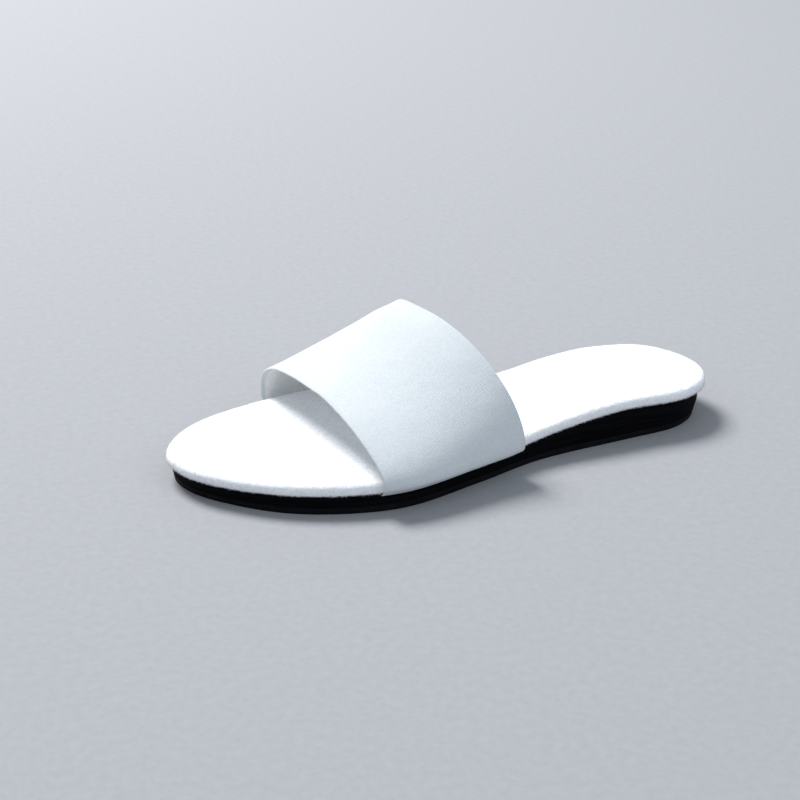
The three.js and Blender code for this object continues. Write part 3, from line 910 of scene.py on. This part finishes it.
def footbed_fabric():
    """White brushed terry: short, dense, slightly clumped pile."""
    look = Look("footbed_terry", (0.90, 0.905, 0.92), 0.95, Sheen_Weight=0.5, Sheen_Roughness=0.6,
                Specular_IOR_Level=0.1)
    where = look.place()
    tone = look.noise(where, 800, 2)
    look.set("Base Color", look.colors(tone, [(0.32, (0.80, 0.815, 0.86)), (0.6, (0.94, 0.945, 0.95))]))
    look.bump(look.noise(where, 160, 3), 0.3 * MM, 0.4)
    look.bump(look.cells(where, 1150), 0.35 * MM, 0.5)
    look.bump(look.noise(where, 2600, 3, 0.7), 0.22 * MM, 0.5)
    return look.material


def nap_fibre():
    look = Look("nap_fibre", (0.93, 0.935, 0.95), 0.8, Sheen_Weight=0.2, Specular_IOR_Level=0.2)
    tone = look.noise(look.place(), 900, 2)
    look.set("Base Color", look.colors(tone, [(0.3, (0.88, 0.885, 0.9)), (0.7, (0.96, 0.96, 0.965))]))
    return look.material


def strap_fabric():
    """White fine-ribbed knit, its ribs running from the band's front to its rear edge."""
    look = Look("strap_rib_knit", (0.64, 0.675, 0.69), 0.85, Sheen_Weight=0.15, Sheen_Roughness=0.5,
                Specular_IOR_Level=0.2)
    weave = look.place(attribute="weave")
    where = look.place()
    tone = look.noise(where, 900, 3)
    look.set("Base Color", look.colors(tone, [(0.3, (0.585, 0.622, 0.645)), (0.65, (0.655, 0.69, 0.71))]))
    look.bump(look.noise(where, 120, 2), 0.25 * MM, 0.35)
    look.bump(look.wave(weave, 330, 0.9), 0.11 * MM, 0.45)
    look.bump(look.wave(weave, 520, 1.5, "Y"), 0.05 * MM, 0.5)
    look.bump(look.noise(where, 2300, 3, 0.65), 0.2 * MM, 0.75)
    return look.material


def lining_fabric():
    look = Look("lining_knit", (0.78, 0.79, 0.78), 0.9, Sheen_Weight=0.15, Specular_IOR_Level=0.15)
    weave = look.place(attribute="weave")
    where = look.place()
    tone = look.noise(where, 700, 2)
    look.set("Base Color", look.colors(tone, [(0.3, (0.72, 0.73, 0.72)), (0.7, (0.82, 0.83, 0.815))]))
    look.bump(look.wave(weave, 400, 0.8), 0.08 * MM, 0.5)
    look.bump(look.noise(where, 1500, 3), 0.12 * MM, 0.6)
    return look.material


def sole_foam():
    """Matt black cut foam: its wall shows faint lines along the cut and fine closed cells."""
    look = Look("black_eva_foam", (0.002, 0.002, 0.003), 0.8, Specular_IOR_Level=0.04)
    where = look.place()
    streak = look.noise(look.place((30, 30, 1700)), 1.0, 3, 0.6)
    look.set("Base Color", look.colors(streak, [(0.42, (0.0008, 0.0008, 0.0013)),
                                                (0.75, (0.006, 0.006, 0.008))]))
    look.set("Roughness", look.spread(look.noise(where, 300, 2), 0.62, 0.85))
    look.bump(streak, 0.2 * MM, 0.6)
    look.bump(look.cells(where, 2000), 0.1 * MM, 0.6)
    return look.material


def outsole_rubber():
    look = Look("black_outsole", (0.005, 0.005, 0.0062), 0.6, Specular_IOR_Level=0.1)
    where = look.place()
    tone = look.noise(where, 180, 4)
    look.set("Base Color", look.colors(tone, [(0.3, (0.002, 0.002, 0.0028)),
                                              (0.8, (0.007, 0.0072, 0.009))]))
    look.set("Roughness", look.spread(look.noise(where, 90, 3), 0.5, 0.75))
    look.bump(look.cells(where, 1300), 0.1 * MM, 0.5)
    look.bump(look.noise(where, 3000, 2), 0.05 * MM, 0.4)
    return look.material


def sponge():
    look = Look("sponge", (0.78, 0.76, 0.66), 0.9, Specular_IOR_Level=0.2)
    where = look.place()
    pores = look.cells(where, 1400)
    look.set("Base Color", look.colors(pores, [(0.0, (0.5, 0.48, 0.4)), (0.4, (0.82, 0.8, 0.7))]))
    look.bump(pores, 0.3 * MM, 0.8)
    return look.material


def fibreboard():
    look = Look("fibreboard", (0.42, 0.32, 0.2), 0.85, Specular_IOR_Level=0.2)
    fibres = look.noise(look.place((300, 1400, 1400)), 1.0, 4, 0.7)
    look.set("Base Color", look.colors(fibres, [(0.3, (0.30, 0.22, 0.13)), (0.7, (0.50, 0.39, 0.26))]))
    look.bump(fibres, 0.1 * MM, 0.6)
    return look.material


def floor_finish():
    look = Look("pale_floor", (0.33, 0.335, 0.35), 0.9, Specular_IOR_Level=0.2)
    where = look.place()
    tone = look.noise(where, 260, 3)
    look.set("Base Color", look.colors(tone, [(0.25, (0.315, 0.32, 0.336)), (0.75, (0.345, 0.35, 0.366))]))
    look.bump(look.noise(where, 900, 3), 0.15 * MM, 0.3)
    return look.material


# ---- Assembly ------------------------------------------------------------------------

def dress(piece, material, slot, *nodes):
    piece.data.materials.clear()
    piece.data.materials.append(material)
    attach(piece, "root")
    if nodes:
        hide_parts(*nodes)
    return piece


def build_slipper():
    foam, rubber, spongy = sole_foam(), outsole_rubber(), sponge()
    dress(build_outsole(), rubber, "outsole_rubber", "outsole")
    dress(build_midsole(), foam, "sole_foam", "midsole")
    dress(build_heel_wedge(), foam, "sole_foam", "heel_wedge")
    surface, normals = cover_surface()
    cover = dress(build_footbed_cover(surface), footbed_fabric(), "footbed_fabric", "footbed_cover")
    pad = dress(build_footbed_foam(), spongy, "sponge", "footbed_foam")
    fibre = nap_fibre()
    dress(build_footbed_nap(surface, normals), fibre, "footbed_fabric")
    dress(build_strap_nap(), fibre, "strap_fabric")
    face = dress(build_strap_face(), strap_fabric(), "strap_fabric", "strap_face")
    lining = dress(build_strap_lining(), lining_fabric(), "lining_fabric", "strap_lining")
    core = dress(build_strap_foam(), spongy, "sponge", "strap_foam")
    for node, material in (("insole_board", fibreboard()), ("bottom_filler", spongy)):
        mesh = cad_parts[node].data
        mesh.materials.clear()
        mesh.materials.append(material)


def build_floor():
    half = 4.0
    under = -0.1 * MM
    corners = [(-half, -half, under), (half, -half, under), (half, half, under), (-half, half, under)]
    floor = make_object("floor", corners, [[0, 1, 2, 3]])
    floor.data.materials.append(floor_finish())


def area_light(name, place, target, size, power, color=(1, 1, 1)):
    data = bpy.data.lights.new(name, "AREA")
    data.shape = "DISK"
    data.size = size
    data.energy = power
    data.color = color
    light = bpy.data.objects.new(name, data)
    light.location = place
    light.rotation_euler = (Vector(target) - Vector(place)).to_track_quat("-Z", "Y").to_euler()
    bpy.context.scene.collection.objects.link(light)


def build_lights():
    middle = (0, 0, 0.02)
    area_light("key", (-0.75, 1.75, 2.35), middle, 1.3, 129, (1.0, 0.995, 0.985))
    area_light("fill", (1.4, -1.9, 1.5), middle, 1.6, 9.5, (0.88, 0.94, 1.0))
    world = bpy.data.worlds.new("studio")
    world.use_nodes = True
    background = world.node_tree.nodes["Background"]
    background.inputs["Color"].default_value = (0.82, 0.9, 1.0, 1)
    background.inputs["Strength"].default_value = 0.6
    bpy.context.scene.world = world


def build_camera():
    """Look over the toe's outer side: 17.28 degrees off the long side's normal, 26 downwards."""
    data = bpy.data.cameras.new("camera")
    data.sensor_width = 36
    data.lens = 75.66
    camera = bpy.data.objects.new("camera", data)
    camera.location = (-0.2441, -0.70365, 0.3876)
    camera.rotation_euler = (math.radians(90 - 26), 0, math.radians(-17.28))
    bpy.context.scene.collection.objects.link(camera)
    bpy.context.scene.camera = camera


build_camera()
build_slipper()
build_floor()
build_lights()
bpy.context.scene.view_settings.view_transform = "Standard"
